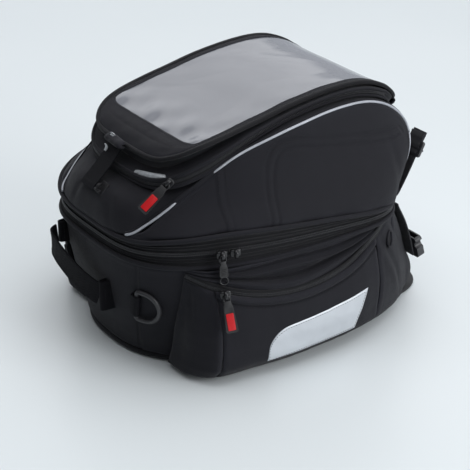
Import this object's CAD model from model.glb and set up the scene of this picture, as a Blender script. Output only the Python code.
import math
from bisect import bisect_right

import bmesh
import bpy
import numpy as np
from mathutils import Matrix, Vector


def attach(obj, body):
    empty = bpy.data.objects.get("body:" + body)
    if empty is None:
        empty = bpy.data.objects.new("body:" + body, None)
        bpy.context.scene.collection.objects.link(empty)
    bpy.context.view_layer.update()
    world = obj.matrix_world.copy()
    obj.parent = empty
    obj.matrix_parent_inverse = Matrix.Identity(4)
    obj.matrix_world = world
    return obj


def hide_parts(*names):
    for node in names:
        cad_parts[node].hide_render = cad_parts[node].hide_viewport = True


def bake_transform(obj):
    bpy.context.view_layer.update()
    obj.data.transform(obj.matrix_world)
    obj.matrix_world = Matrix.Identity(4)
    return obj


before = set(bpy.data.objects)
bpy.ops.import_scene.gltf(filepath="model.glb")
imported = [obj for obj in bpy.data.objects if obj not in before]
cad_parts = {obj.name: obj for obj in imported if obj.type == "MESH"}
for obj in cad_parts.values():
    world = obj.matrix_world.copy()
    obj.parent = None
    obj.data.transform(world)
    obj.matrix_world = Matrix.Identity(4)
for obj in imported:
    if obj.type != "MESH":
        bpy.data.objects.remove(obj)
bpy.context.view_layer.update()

# --- Tub: the front, side and rear walls ----------------------------------------------------------
# Black polyester cloth over foam, sewn into an upright shell whose walls bulge a little. The front
# wall has a seam on each side that takes the D-ring's webbing; the walls meet in turned-in seams.

MM = 0.001
MIDDLE = 15.0                  # x of the widest place of every plan outline, in millimetres
CENTRE = np.array([15.0, 0.0, 125.0])
# Plan outlines as (height, nose x, rear x, half width, bluntness of the nose), in millimetres
TUB = ((4, -163, 178, 125, 2.6), (24, -167, 189, 130, 2.7), (55, -173, 175, 134, 2.9),
       (92, -178, 158, 140, 3.2), (124, -181, 139, 147, 3.4))
NOSE_SEAM, REAR_SEAM = -128.0, 112.0


def along(rows, at):
    """A table's row at any place of its first column, by a smooth line through the rows."""
    k = min(max(bisect_right([row[0] for row in rows], at) - 1, 0), len(rows) - 2)
    a, b = np.array(rows[k], float), np.array(rows[k + 1], float)
    before, after = np.array(rows[max(k - 1, 0)], float), np.array(rows[min(k + 2, len(rows) - 1)], float)
    step = b[0] - a[0]
    t = min(max((at - a[0]) / step, 0.0), 1.0)
    slope_a = (b - before) / (b[0] - before[0]) * step
    slope_b = (after - a) / (after[0] - a[0]) * step
    value = ((2 * t - 3) * t * t + 1) * a + (t - 2) * t * t * slope_a + t * slope_a
    value += (3 - 2 * t) * t * t * b + (t - 1) * t * t * slope_b
    return value[1:]


def steps(points):
    """The lengths of a line's steps."""
    return np.linalg.norm(np.diff(points, axis=0), axis=1)


def unit(rows):
    """Each row of a list of vectors, made one long."""
    return rows / np.linalg.norm(rows, axis=1, keepdims=True)


def even(points, count):
    """The same line cut into count equal steps."""
    points = np.asarray(points, float)
    marks = np.concatenate([[0], np.cumsum(steps(points))])
    want = np.linspace(0, marks[-1], count + 1)
    return np.stack([np.interp(want, marks, points[:, k]) for k in range(points.shape[1])], 1)


def curve(points, count):
    """A smooth line through a few points, in equal steps."""
    points = np.asarray(points, float)
    marks = np.concatenate([[0], np.cumsum(steps(points))])
    rows = [(m, *p) for m, p in zip(marks, points)]
    return even([along(rows, at) for at in np.linspace(0, marks[-1], 8 * len(points))], count)


def plan(z, nose, rear, half, blunt, nose_p=2.2, rear_p=4.0):
    """A closed outline of the bag seen from above, from the tall end round by the left-hand side."""
    points = []
    for i in range(192):
        quarter, part = divmod(i / 48, 1)
        turn = (quarter + (1 - math.cos(math.pi * part)) / 2) * math.pi / 2
        c, s = math.cos(turn), math.sin(turn)
        reach, p, q = (MIDDLE - nose, nose_p, blunt) if c < 0 else (rear - MIDDLE, rear_p, rear_p)
        x = MIDDLE + math.copysign(reach * abs(c) ** (2 / p), c)
        points.append((x, math.copysign(half * abs(s) ** (2 / q), s), z))
    return np.array(points + points[:1])


def stretch(points, inside):
    """The stretch of a closed outline where inside(point) is above nought, with exact ends."""
    points = points[:-1]
    count = len(points)
    held = [inside(p) for p in points]
    i = next(i for i in range(count) if held[i] > 0 >= held[i - 1])

    def crossing(k):
        before, after = points[(k - 1) % count], points[k % count]
        return before + (after - before) * (held[(k - 1) % count] / (held[(k - 1) % count] - held[k % count]))

    line = [crossing(i)]
    while held[i % count] > 0:
        line.append(points[i % count])
        i += 1
    return np.array(line + [crossing(i)])


def facing(grid, outward=None):
    """Unit normals of a grid of points, away from the bag's middle or along outward."""
    across, up = np.gradient(grid, axis=1), np.gradient(grid, axis=0)
    normal = np.cross(across, up)
    normal /= np.maximum(np.linalg.norm(normal, axis=2, keepdims=True), 1e-9)
    away = grid - CENTRE if outward is None else np.broadcast_to(np.asarray(outward, float), grid.shape)
    return normal * (1 if (normal * away).sum() > 0 else -1)


def measured(grid):
    """Distances along a grid from its middle column and its first row, and from its nearest border."""
    across = np.linalg.norm(np.diff(grid, axis=1), axis=2)
    up = np.linalg.norm(np.diff(grid, axis=0), axis=2)
    u = np.concatenate([np.zeros((len(grid), 1)), np.cumsum(across, 1)], 1)
    v = np.concatenate([np.zeros((1, grid.shape[1])), np.cumsum(up, 0)], 0)
    side = np.minimum(u, u[:, -1:] - u)
    ends = np.minimum(v, v[-1:] - v)
    return u - u[:, -1:] / 2, v, side, ends


def ripple(grid, size, seed):
    """A smooth unevenness between -1 and 1, of about that size across."""
    q = grid / size
    w = np.sin(q[..., 0] * 6.1 + seed) + np.sin(q[..., 1] * 5.3 + 2.1 * seed) + np.sin(q[..., 2] * 6.7 - seed)
    return (w + np.sin((q[..., 0] + q[..., 2]) * 4.3 + 3 * seed) * np.sin(q[..., 1] * 3.7 - seed)) / 4


def groove(distance, width=1.3):
    """1 on a line and 0 a little way off it."""
    return np.exp(-(distance / width) ** 2)


def turned_in(side, ends, deep=1.3):
    """How far a panel's edges go in to meet their seams, and how far it stands out behind them."""
    edge = np.minimum(side, ends)
    return -deep * groove(edge, 1.7) + 0.35 * groove(edge - 5, 3.0)


def alone(piece):
    """Makes one piece the only one selected, and the one that is worked on."""
    bpy.ops.object.select_all(action="DESELECT")
    piece.select_set(True)
    bpy.context.view_layer.objects.active = piece


def press(piece, kind, **settings):
    """Adds a modifier and applies it."""
    alone(piece)
    modifier = piece.modifiers.new(kind.lower(), kind)
    for key, value in settings.items():
        setattr(modifier, key, value)
    bpy.ops.object.modifier_apply(modifier=modifier.name)


def whole(operation, **settings):
    """Does one operation on the whole mesh of the piece that is worked on."""
    bpy.ops.object.mode_set(mode="EDIT")
    bpy.ops.mesh.select_all(action="SELECT")
    operation(**settings)
    bpy.ops.object.mode_set(mode="OBJECT")


def cloth(name, grid, outward=None, thick=2.4, closed=False):
    """A sewn sheet on a grid of points, with its weave laid along it and its inside behind it.

    Closed joins the first and last lines of a tube, or "ring" the first and last columns of a ring.
    """
    tall, wide = grid.shape[0] - 1, grid.shape[1] - 1
    bpy.ops.mesh.primitive_grid_add(x_subdivisions=wide, y_subdivisions=tall, size=1)
    piece = bpy.context.object
    piece.name = piece.data.name = name
    mesh = piece.data
    flat = np.empty(len(mesh.vertices) * 3)
    mesh.vertices.foreach_get("co", flat)
    flat = flat.reshape(-1, 3)
    i = np.rint((flat[:, 0] + 0.5) * wide).astype(int)
    j = np.rint((flat[:, 1] + 0.5) * tall).astype(int)
    u, v, side, ends = measured(grid)
    mesh.vertices.foreach_set("co", (grid[j, i] * MM).ravel())
    corner = np.empty(len(mesh.loops), int)
    mesh.loops.foreach_get("vertex_index", corner)
    weave = np.stack([u[j, i], v[j, i]], 1)[corner] * MM
    mesh.uv_layers[0].data.foreach_set("uv", weave.ravel())
    edge = mesh.attributes.new("hem", "FLOAT", "POINT")
    near = ends if closed == "ring" else side if closed else np.minimum(side, ends)
    edge.data.foreach_set("value", np.exp(-near[j, i] / 4.0).astype(np.float32))
    normal = facing(grid, outward)
    across, up = np.gradient(grid, axis=1), np.gradient(grid, axis=0)
    if (np.cross(across, up) * normal).sum() < 0:
        mesh.flip_normals()
    mesh.update()
    if closed:
        whole(bpy.ops.mesh.remove_doubles, threshold=2e-5)
    bpy.ops.object.shade_smooth()
    if thick:
        press(piece, "SOLIDIFY", thickness=thick * MM, offset=-1, use_even_offset=False, material_offset=1,
              material_offset_rim=0)
    piece.select_set(False)
    return piece


def node(tree, kind, settings=(), **inputs):
    """A shader node with its settings and inputs; an input may be another node's socket."""
    made = tree.nodes.new(kind)
    for key, value in dict(settings).items():
        setattr(made, key, value)
    for key, value in inputs.items():
        socket = made.inputs[int(key[1:])] if key[1:].isdigit() else made.inputs[key.replace("_", " ")]
        if isinstance(value, bpy.types.NodeSocket):
            tree.links.new(value, socket)
        else:
            socket.default_value = value
    return made


def finish(name, rough, metal=0.0, sheen=0.0, coat=0.0, specular=0.5):
    """A new material and its shader, with what is the same all over it."""
    material = bpy.data.materials.new(name)
    material.use_nodes = True
    tree = material.node_tree
    shader = tree.nodes["Principled BSDF"]
    for setting, value in (("Roughness", rough), ("Metallic", metal), ("Specular IOR Level", specular),
                           ("Sheen Weight", sheen), ("Sheen Roughness", 0.45), ("Coat Weight", coat),
                           ("Coat Roughness", 0.2)):
        shader.inputs[setting].default_value = value
    return material, tree, shader


def math_of(tree, operation, a, b=0.0):
    """The result of one sum on sockets or numbers."""
    return node(tree, "ShaderNodeMath", {"operation": operation}, _0=a, _1=b).outputs[0]


def noise(tree, scale, detail, on=None, **more):
    """A noise's value over the piece's own space, or over what another socket gives."""
    if on is None:
        on = node(tree, "ShaderNodeTexCoord").outputs[3]
    return node(tree, "ShaderNodeTexNoise", Vector=on, Scale=scale, Detail=detail, **more).outputs[0]


def between(tree, share, first, second):
    """A colour between two, each of them a colour or a socket, by the share of the second."""
    first, second = (c if isinstance(c, bpy.types.NodeSocket) else (*c, 1) for c in (first, second))
    return node(tree, "ShaderNodeMix", {"data_type": "RGBA"}, Factor=share, _6=first, _7=second).outputs[2]


def surface(tree, shader, colour, height, strength, distance, gloss=None):
    """Gives a finish its colour, its fine relief and, where it is patchy, its gloss."""
    tree.links.new(colour, shader.inputs["Base Color"])
    bump = node(tree, "ShaderNodeBump", Strength=strength, Distance=distance, Height=height)
    tree.links.new(bump.outputs[0], shader.inputs["Normal"])
    if gloss:
        patchy = node(tree, "ShaderNodeMapRange", _0=gloss[0], _3=gloss[1], _4=gloss[2])
        tree.links.new(patchy.outputs[0], shader.inputs["Roughness"])


def mottled(name, rough, dark, light, grain, strength, distance, relief=None, swirl=0.0, **more):
    """A finish of two tones mixed by one noise, with the relief of another or of the same one."""
    material, tree, shader = finish(name, rough, **more)
    share = noise(tree, *grain, Distortion=swirl)
    bumps = noise(tree, *relief) if relief else share
    surface(tree, shader, between(tree, share, dark, light), bumps, strength, distance)
    return material


def woven(name, dark, light, pitch, rough=0.72, sheen=0.06, depth=0.5, ribs=False, slant=0.0, shine=0.16):
    """Cloth: yarns that cross each other every pitch metres, some paler than others, worn at the hems.

    Ribs leaves out the crossing yarns, and slant turns the ribs to a herringbone as webbing has.
    """
    material, tree, shader = finish(name, rough, sheen=sheen, specular=shine)
    lie = node(tree, "ShaderNodeUVMap").outputs[0]
    parts = node(tree, "ShaderNodeSeparateXYZ", Vector=lie)
    wander = math_of(tree, "MULTIPLY", noise(tree, 55.0, 3.0, lie, Roughness=0.6), 1.1)
    first, second = parts.outputs[0], parts.outputs[1]
    if slant:
        second = math_of(tree, "ADD", second, math_of(tree, "PINGPONG", first, slant))
    turns = 2 * math.pi / pitch
    warp, weft = (math_of(tree, "SINE", math_of(tree, "ADD", math_of(tree, "MULTIPLY", way, turns), wander))
                  for way in (first, second))
    height = weft if ribs else math_of(tree, "MULTIPLY", warp, weft)
    level = math_of(tree, "MULTIPLY_ADD", height, 0.5)
    level.node.inputs[2].default_value = 0.5
    fade = noise(tree, 9.0, 4.0, lie)
    shade = math_of(tree, "MULTIPLY_ADD", fade, 0.5)
    tree.links.new(math_of(tree, "MULTIPLY", level, 0.55), shade.node.inputs[2])
    hem = node(tree, "ShaderNodeAttribute", {"attribute_name": "hem"})
    fluff = noise(tree, 900.0, 2.0, lie)
    worn = math_of(tree, "MULTIPLY", math_of(tree, "MULTIPLY", hem.outputs[2], fluff), 0.55)
    colour = between(tree, worn, between(tree, shade, dark, light), [c * 2.2 for c in light])
    relief = math_of(tree, "ADD", level, math_of(tree, "MULTIPLY", fluff, 0.35))
    surface(tree, shader, colour, relief, depth, pitch * 0.35, (fade, rough - 0.1, rough + 0.1))
    return material


outer_cloth = woven("outer_cloth", (0.0045, 0.0045, 0.006), (0.0165, 0.0165, 0.022), 0.0009)
lining = woven("lining", (0.020, 0.021, 0.023), (0.045, 0.046, 0.050), 0.0007, rough=0.6)


def wear(piece, *finishes):
    """Gives a piece its materials: its outside first, then its inside."""
    piece.data.materials.clear()
    for material in finishes:
        piece.data.materials.append(material)


def fit(piece, finishes, body, slot, *nodes):
    """Finishes a piece, outside first, and puts it on its body in place of the nodes it stands for."""
    wear(piece, *finishes)
    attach(piece, body)
    if nodes:
        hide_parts(*nodes)


def panel(name, grid, lift, body, *nodes, thick=2.4, fill=None):
    """A panel of the outer cloth with its lining, raised off its grid, on its body."""
    piece = cloth(name, grid + facing(grid) * lift[..., None], thick=thick)
    fit(piece, [outer_cloth, lining], body, "cloth", *nodes)
    return piece


def taken(piece):
    """The points and faces of a small shape that will be repeated; the shape itself goes."""
    shape = np.array([v.co for v in piece.data.vertices]), [tuple(p.vertices) for p in piece.data.polygons]
    bpy.data.objects.remove(piece)
    return shape


def repeated(name, shape, copies, material, body, slot, *nodes):
    """Many copies of a small shape as one smooth piece, each given as its points in metres."""
    count = len(shape[0])
    faces = [tuple(k + number * count for k in face) for number in range(len(copies)) for face in shape[1]]
    mesh = bpy.data.meshes.new(name)
    mesh.from_pydata(np.concatenate(copies).tolist(), [], faces)
    mesh.update()
    row = bpy.data.objects.new(name, mesh)
    bpy.context.collection.objects.link(row)
    for polygon in mesh.polygons:
        polygon.use_smooth = True
    fit(row, [material], body, slot, *nodes)
    return row


bpy.ops.mesh.primitive_cylinder_add(vertices=6, radius=1, depth=1, end_fill_type="TRIFAN")
one_stitch = bpy.context.object
whole(bpy.ops.mesh.subdivide, number_cuts=1)
for vertex in one_stitch.data.vertices:
    taper = 1 - 0.75 * abs(vertex.co.z * 2) ** 3
    vertex.co = (vertex.co.z, vertex.co.x * taper, vertex.co.y * taper - abs(vertex.co.z) * 0.9 + 0.3)
STITCH = taken(one_stitch)


def thread_finish():
    """Bonded polyester thread: two plies that turn about each other, slightly shiny."""
    material, tree, shader = finish("sewing_thread", 0.55, specular=0.25)
    place = node(tree, "ShaderNodeTexCoord").outputs[3]
    twist = node(tree, "ShaderNodeTexWave", {"bands_direction": "DIAGONAL"}, Vector=place, Scale=900.0)
    ply = twist.outputs[1]
    surface(tree, shader, between(tree, ply, (0.004, 0.004, 0.005), (0.014, 0.014, 0.018)), ply, 0.5, 0.0002)
    return material


sewing_thread = thread_finish()


def sew(name, piece, body, lines, pitch=3.4, thick=0.34):
    """Rows of thread stitches along lines on a piece."""
    copies = []
    for line in lines:
        line = even(line, max(int(steps(np.asarray(line, float)).sum() / pitch), 2))
        for a, b in zip(line, line[1:]):
            _, spot, up, _ = piece.closest_point_on_mesh(Vector((a + b) / 2 * MM))
            run = Vector(b - a).normalized()
            side = up.cross(run).normalized()
            up = run.cross(side)
            turn = np.array([run, side, up])
            size = np.array([pitch * 0.78, thick, thick]) * MM
            copies.append(STITCH[0] * size @ turn + np.array(spot))
    return repeated(name, STITCH, copies, sewing_thread, body, "stitching")


def tub_wall(inside, pitch, low=6.5, high=124.5):
    """The tub's wall where inside(point) is above nought, as a grid of points."""
    heights = np.linspace(low, high, round((high - low) / pitch) + 1)
    lines = [stretch(plan(z, *along(TUB, z)), inside) for z in heights]
    count = round(steps(lines[0]).sum() / pitch)
    return np.array([even(line, count) for line in lines])


bpy.ops.object.select_all(action="DESELECT")
front = tub_wall(lambda p: NOSE_SEAM - p[0], 1.5)
u, _, side, ends = measured(front)
ring_seam = np.abs(front[..., 1]) - (49 + 25 * front[..., 2] / 122)
low_crease = groove(front[..., 2] - 30 - 0.25 * np.abs(front[..., 1]), 14)
lift = turned_in(side, ends) - 0.9 * groove(ring_seam) + 0.5 * groove(ring_seam - 4, 2.6)
lift += 0.7 * ripple(front, 70, 1.0) + 0.18 * ripple(front, 16, 4.0) - 0.7 * low_crease
lift += 1.6 * groove(ends - 55, 40) * groove(u, 90)
front_wall = panel("front_wall", front, lift, "tub", "front_panel", fill=0.4)
seam_rows = []
for y in (-1, 1):
    for off in (3.0, -2.6):
        for high, low in ((121, 95), (74, 9)):
            heights = np.linspace(high, low, 8)
            seam_rows.append([(-156.9 - z / 8, y * (49 + 25 * z / 122 + off), z) for z in heights])
sew("front_wall_stitches", front_wall, "tub", seam_rows)

SIDES = (("right", -1), ("left", 1))
for side_name, y in SIDES:
    wall = tub_wall(lambda p: min(p[0] - NOSE_SEAM, REAR_SEAM - p[0], p[1] * y), 3.0)
    _, _, side, ends = measured(wall)
    lift = turned_in(side, ends) + 0.5 * ripple(wall, 60, 2.0)
    panel("side_wall_" + side_name, wall, lift, "tub", "tub_side_panel_" + side_name, fill=0.3)

rear = tub_wall(lambda p: p[0] - REAR_SEAM, 1.8)
_, _, side, ends = measured(rear)
lift = turned_in(side, ends) + 0.9 * ripple(rear, 60, 3.0) + 0.2 * ripple(rear, 15, 1.0)
lift -= 0.8 * groove(np.abs(rear[..., 1]) - 88, 1.3)
lift += 0.8 * groove(rear[..., 2] - 84, 10) * np.sin(rear[..., 1] / 9) * groove(side - 60, 50)
rear_wall = panel("rear_wall", rear, lift, "tub", "rear_panel", fill=0.3)
sew("rear_wall_stitches", rear_wall, "tub",
    [[(140, y, 120), (158, y, 90), (175, y, 55), (186, y, 20)] for y in (-85, 85, -91, 91)])

# --- Floor, grip pad and bottom binding -----------------------------------------------------------
# The floor is cloth under a stiff board. A rubbery grip pad is sewn beneath it, with a flap that runs
# out at the tall end, and a folded tape binds the bottom seam all round.


def done():
    """Back to object mode, with the mesh's faces turned outwards."""
    bpy.ops.mesh.select_mode(type="FACE")
    bpy.ops.mesh.select_all(action="SELECT")
    bpy.ops.mesh.normals_make_consistent(inside=False)
    bpy.ops.object.mode_set(mode="OBJECT")


def plate(name, outline, low, high, round_edge):
    """A flat piece with a plan outline, its edge rounded over."""
    bpy.ops.mesh.primitive_circle_add(vertices=len(outline), fill_type="NGON")
    piece = bpy.context.object
    piece.name = piece.data.name = name
    for vertex, (x, y, _) in zip(piece.data.vertices, outline):
        vertex.co = (x * MM, y * MM, low * MM)
    bpy.ops.object.mode_set(mode="EDIT")
    bpy.ops.mesh.select_all(action="SELECT")
    bpy.ops.mesh.extrude_region_move(TRANSFORM_OT_translate={"value": (0, 0, (high - low) * MM)})
    done()
    press(piece, "BEVEL", width=round_edge * MM, segments=3, limit_method="ANGLE")
    bpy.ops.object.mode_set(mode="EDIT")
    bpy.ops.mesh.select_all(action="DESELECT")
    bpy.ops.mesh.select_face_by_sides(number=8, type="GREATER")
    bpy.ops.mesh.inset(thickness=3 * MM)
    bpy.ops.mesh.inset(thickness=6 * MM)
    bpy.ops.object.mode_set(mode="OBJECT")
    bpy.ops.object.shade_smooth_by_angle(angle=math.radians(40))
    piece.select_set(False)
    return piece


def runs(path, closed=False):
    """The direction of a line at each of its points."""
    run = np.gradient(path, axis=0)
    if closed:
        run[0] = run[-1] = path[1] - path[-2]
    return unit(run)


def close_up(piece, open_ends):
    """Fills the ends of a tube that has them, and turns its faces outwards."""
    alone(piece)
    bpy.ops.object.mode_set(mode="EDIT")
    if open_ends:
        bpy.ops.mesh.select_mode(type="EDGE")
        bpy.ops.mesh.select_all(action="DESELECT")
        bpy.ops.mesh.select_non_manifold(use_multi_face=False, use_non_contiguous=False, use_verts=False)
        bpy.ops.mesh.edge_face_add()
    done()
    piece.select_set(False)


def sweep(name, path, outward, profile, closed_path=False, up=None):
    """A closed profile of (out, up) points carried along a path, as a band, tape or piping."""
    path, outward = np.asarray(path, float), np.asarray(outward, float)
    run = runs(path, closed_path)
    if up is None:
        outward = unit(outward - run * (outward * run).sum(1, keepdims=True))
        rise = np.cross(run, outward)
        rise *= np.where(rise[:, 2:] < 0, -1, 1)
    else:
        rise = np.broadcast_to(np.asarray(up, float), path.shape)
    grid = np.array([path + outward * a + rise * b for a, b in [*profile, profile[0]]])
    piece = cloth(name, grid, thick=0, closed=True)
    close_up(piece, not closed_path)
    return piece


def ring_round(radius, flat=1.0, count=10):
    """The profile of a round or flattened cord."""
    turns = [2 * math.pi * k / count for k in range(count)]
    return [(radius * flat * math.cos(t), radius * math.sin(t)) for t in turns]


def rubber(name, colour, rough=0.62):
    """Moulded rubber: a fine sandy grain with paler rubbed places."""
    material, tree, shader = finish(name, rough)
    rubbed = noise(tree, 60.0, 3.0)
    tone = between(tree, rubbed, colour, [c * 1.9 + 0.004 for c in colour])
    surface(tree, shader, tone, noise(tree, 2500.0, 3.0), 0.25, 0.0002, (rubbed, rough - 0.12, rough + 0.1))
    return material


# The stiff board is covered in grey felt
felt = mottled("felt_board", 0.9, (0.02, 0.02, 0.022), (0.07, 0.07, 0.075), (700.0, 6.0), 0.6, 0.0006,
               swirl=1.5, sheen=0.4)
FLOOR = TUB[0][1:]
floor_cloth = plate("floor_cloth", plan(0, FLOOR[0], FLOOR[1], FLOOR[2], 2.6)[:-1:2], 4.2, 7.0, 0.6)
fit(floor_cloth, [lining], "tub", "lining", "floor_panel")
board = plate("base_board", plan(0, FLOOR[0] + 14, FLOOR[1] - 12, FLOOR[2] - 12, 2.6)[:-1:2], 7.1, 9.5, 0.8)
fit(board, [felt], "tub", "board", "floor_board")

grip_black = rubber("grip_rubber", (0.006, 0.006, 0.007))
pad = plate("grip_pad_rubber", plan(0, FLOOR[0] + 5, FLOOR[1] - 4, FLOOR[2] - 5, 2.6)[:-1:2], 0.0, 4.0, 1.4)
fit(pad, [grip_black], "tub", "grip_rubber", "grip_pad")
pad_flap = plate("grip_pad_flap", plan(0, 60, 199.6, 111, 2.6, rear_p=5.2)[:-1:2], 0.1, 4.4, 2.0)
fit(pad_flap, [grip_black], "tub", "grip_rubber")

webbing_binding = woven("binding_tape", (0.004, 0.004, 0.005), (0.013, 0.013, 0.016), 0.0012, rough=0.6,
                        depth=0.7, ribs=True)


def outwards(line, closed=False):
    """The level directions that point out of a line which runs round the bag."""
    run = np.gradient(line, axis=0)
    if closed:
        run[0] = run[-1] = line[1] - line[-2]
    return unit(np.stack([run[:, 1], -run[:, 0], 0 * run[:, 0]], 1))


def ring_path(outline, height):
    """A closed path along an outline at heights given by its x, with the outward directions."""
    path = even(outline, 420)
    path[:, 2] = [height(x) for x in path[:, 0]]
    return path, outwards(path, True)


path, outward = ring_path(plan(0, *along(TUB, 5.0)[:3], 2.6), lambda x: 5.0)
fold = [(-0.4, -2.4), (0.9, -2.6), (1.9, -1.4), (2.1, 0.4), (1.7, 2.0), (0.8, 3.2), (0.3, 3.3), (0.2, 1.5),
        (0.2, -1.0)]
binding = sweep("bottom_seam_binding", path, outward, fold, closed_path=True, up=(0, 0, 1))
fit(binding, [webbing_binding], "tub", "binding", "bottom_binding")

# --- Band: cords, zip tapes and coil --------------------------------------------------------------
# The tub and the lid meet in a band. A piping cord edges it above and below, and between them runs a
# coil zip on its woven tapes, which curves down to the hinge at the tall end.

BAND = TUB[-1][1:]
ZIP = ((-220, 136), (-181, 137), (-150, 140), (-95, 142), (0, 138.5), (105, 131.4), (141, 130.6),
       (220, 130.5))
UPPER_CORD = ((-220, 146), (-181, 148), (-150, 155), (-95, 160), (0, 152), (105, 137.5), (141, 135.2),
              (220, 135))
LOWER_CORD_Z = 125.8
ZIP_END = 116.0


def band_outline(out):
    """The band's plan outline, moved out."""
    nose, rear, half, blunt = BAND
    return plan(0, nose - out, rear + out, half + out, blunt)


def zip_z(x):
    """Height of the main zip at one place along the bag."""
    return along(ZIP, x)[0]


def cord_z(x):
    """Height of the band's upper cord at one place along the bag."""
    return along(UPPER_CORD, x)[0]


tape_cloth = woven("zip_tape", (0.003, 0.003, 0.004), (0.010, 0.010, 0.012), 0.0011, rough=0.6, ribs=True,
                   depth=0.8)
for name, body, height, node_name in (("lower_band_cord", "tub", lambda x: LOWER_CORD_Z, "lower_cord"),
                                      ("upper_band_cord", "lid", cord_z, "upper_cord")):
    path, outward = ring_path(band_outline(1.8), height)
    # At the hinge the cords lie closer in, so that they pass each other as the lid opens
    path -= outward * 1.6 * np.clip((path[:, :1] - 85) / 35, 0, 1)
    cord = sweep(name, path, outward, ring_round(2.5, 0.9, 14), closed_path=True, up=(0, 0, 1))
    fit(cord, [outer_cloth], body, "cloth", node_name)


def band_strip(name, low, high, bulge, body, nodes, slot, material, end=ZIP_END, out=0.0, rows=7):
    """A strip of the band between two heights, open at the tall end."""
    line = even(stretch(band_outline(out), lambda p: end - p[0]), 460)
    share = np.linspace(0, 1, rows)
    grid = np.array([[(x, y, low(x) + (high(x) - low(x)) * t) for x, y, _ in line] for t in share])
    grid += outwards(line)[None] * np.array([bulge(t) for t in share])[:, None, None]
    piece = cloth(name, grid, thick=1.2)
    fit(piece, [material, lining], body, slot, *nodes)
    return piece


def tape_bulge(t):
    """A zip tape: a sewn fold at its outer edge and two ribs, sunk a little to the coil."""
    ribs = 1.0 * math.exp(-((t - 0.52) / 0.055) ** 2) + 0.9 * math.exp(-((t - 0.74) / 0.055) ** 2)
    return 1.8 * math.exp(-((t - 0.16) / 0.13) ** 2) + ribs - 1.2 * t


lower_tape = band_strip("lower_tape", lambda x: 124.6, lambda x: zip_z(x) - 1.7, tape_bulge, "tub",
                        ("lower_zip_tape",), "zip_tape", tape_cloth, rows=26)
upper_tape = band_strip("upper_tape", lambda x: cord_z(x) + 1.4, lambda x: zip_z(x) + 1.7, tape_bulge, "lid",
                        ("upper_zip_tape",), "zip_tape", tape_cloth, rows=26)
for name, piece, body, height in (("lower_tape_stitches", lower_tape, "tub", lambda x: 131.4),
                                  ("upper_tape_stitches", upper_tape, "lid", lambda x: cord_z(x) - 5.2)):
    line = even(stretch(band_outline(1.0), lambda p: ZIP_END - 4 - p[0]), 300)
    sew(name, piece, body, [[(x, y, height(x)) for x, y, _ in line if height(x) < cord_z(x) - 4]], pitch=3.0)


# The coil is nylon, smooth and slightly glossy
zip_nylon = mottled("zip_coil", 0.38, (0.01, 0.01, 0.012), (0.04, 0.04, 0.045), (300.0, 3.0), 0.2, 0.0001)
bpy.ops.mesh.primitive_cube_add(size=1)
whole(bpy.ops.mesh.bevel, offset=0.22, segments=1)
TOOTH = taken(bpy.context.object)


def teeth(name, path, outward, rise, pitch, size, shift, body, *nodes):
    """One row of zip teeth along a path, each a small rounded loop that leans along the row."""
    count = int(steps(path).sum() / pitch)
    both = even(np.concatenate([path, outward, rise], 1), 4 * count)
    copies = []
    for k in range(2 + shift, 4 * count - 2, 4):
        here, out, up = both[k, :3], both[k, 3:6], both[k, 6:]
        run = both[k + 1, :3] - both[k - 1, :3]
        turn = np.array([run / np.linalg.norm(run), out / np.linalg.norm(out), up])
        copies.append((TOOTH[0] * size @ turn + here) * MM)
    return repeated(name, TOOTH, copies, zip_nylon, body, "zip_tape", *nodes)


line = even(stretch(band_outline(0.2), lambda p: ZIP_END - p[0]), 460)
plumb = np.broadcast_to([0.0, 0, 1], line.shape)
for name, body, step, shift in (("lower", "tub", -1.15, 0), ("upper", "lid", 1.15, 2)):
    centre = line.copy()
    centre[:, 2] = [zip_z(x) + step for x in line[:, 0]]
    teeth(name + "_coil", centre, outwards(line), plumb, 1.9, (1.25, 1.5, 2.1), shift, body,
          name + "_zip_coil")

# Inside, a strip of the lining covers each tape's edge
for name, body, low, high in (("tub_rim_facing", "tub", lambda x: 119.0, lambda x: zip_z(x) - 4.5),
                              ("lid_rim_facing", "lid", lambda x: zip_z(x) + 4.5, lambda x: cord_z(x) + 6.0)):
    band_strip(name, low, high, lambda t: 0.0, body, (), "lining", lining, out=-2.8, end=126.0)

hinge_line = stretch(band_outline(-0.4), lambda p: p[0] - ZIP_END + 2)
hinge_grid = np.array([[(x, y, 127 + (cord_z(x) - 1 - 127) * t) for x, y, _ in even(hinge_line, 120)]
                       for t in np.linspace(0, 1, 9)])
hinge_web = cloth("hinge_web", hinge_grid, thick=1.2)
wear(hinge_web, outer_cloth, lining)
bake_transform(hinge_web)

# --- Side pockets ---------------------------------------------------------------------------------
# Each long side carries a full pocket of the same cloth over foam. Its zip runs along a dipping arc,
# slack cloth folds between that and the band, and seams part the face from its end gussets.

# At each height, eight places of the pocket's outer face from its front edge to its rear edge
POCKET = (
    (6, ((-146, -86), (-143, -118), (-128, -138), (-97, -146), (-30, -150), (55, -144), (120, -127),
         (152, -104))),
    (20, ((-145, -90), (-143, -125), (-125, -150), (-70, -159), (0, -162), (60, -157), (120, -137),
          (160, -108))),
    (60, ((-143, -98), (-137, -133), (-120, -154), (-60, -165), (0, -168), (60, -163), (115, -143),
          (148, -113))),
    (94, ((-141, -106), (-132, -134), (-116, -148), (-60, -158), (0, -160), (60, -156), (105, -142),
          (135, -116))),
    (108, ((-141, -110), (-130, -132), (-112, -143), (-60, -151), (0, -153), (60, -150), (100, -140),
           (128, -118))),
    (122, ((-141, -114), (-128, -129), (-108, -137), (-60, -146), (0, -149), (60, -147), (98, -137),
           (122, -119))))
POCKET_ROWS = [(z, *[c for corner in face for c in corner]) for z, face in POCKET]
POCKET_ZIP = (-28, 252, 202)             # x and z of the arc's centre, and its radius in its leaning plane
GUSSET_FRONT, GUSSET_REAR = -122.0, 78.0
pocket_lines = {}


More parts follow.
